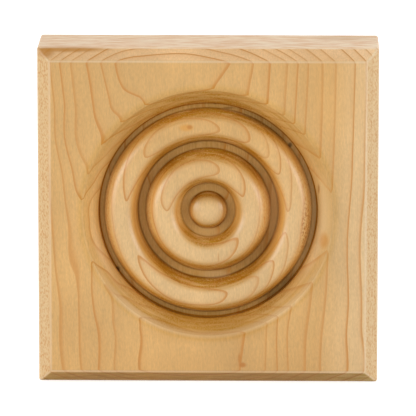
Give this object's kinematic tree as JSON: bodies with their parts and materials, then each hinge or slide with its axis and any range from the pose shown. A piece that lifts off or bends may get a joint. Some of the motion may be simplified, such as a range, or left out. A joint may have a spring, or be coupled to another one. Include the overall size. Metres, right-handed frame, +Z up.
{
  "type": "corner rosette block",
  "caption": "Square wooden corner block with chamfered front edges and a turned bullseye rosette, set where door or window casings meet.",
  "frame": {"origin": "centre of the flat back face, which lies against the wall", "axes": "+Z up along the grain, +X to the right seen from the front, the rosette faces -Y and the back face looks to +Y"},
  "size_m": [0.1016, 0.027, 0.1016],
  "materials": {
    "maple": "bare sanded maple"
  },
  "bodies": {
    "root": {"rosette_block": "maple"}
  },
  "joints": []
}
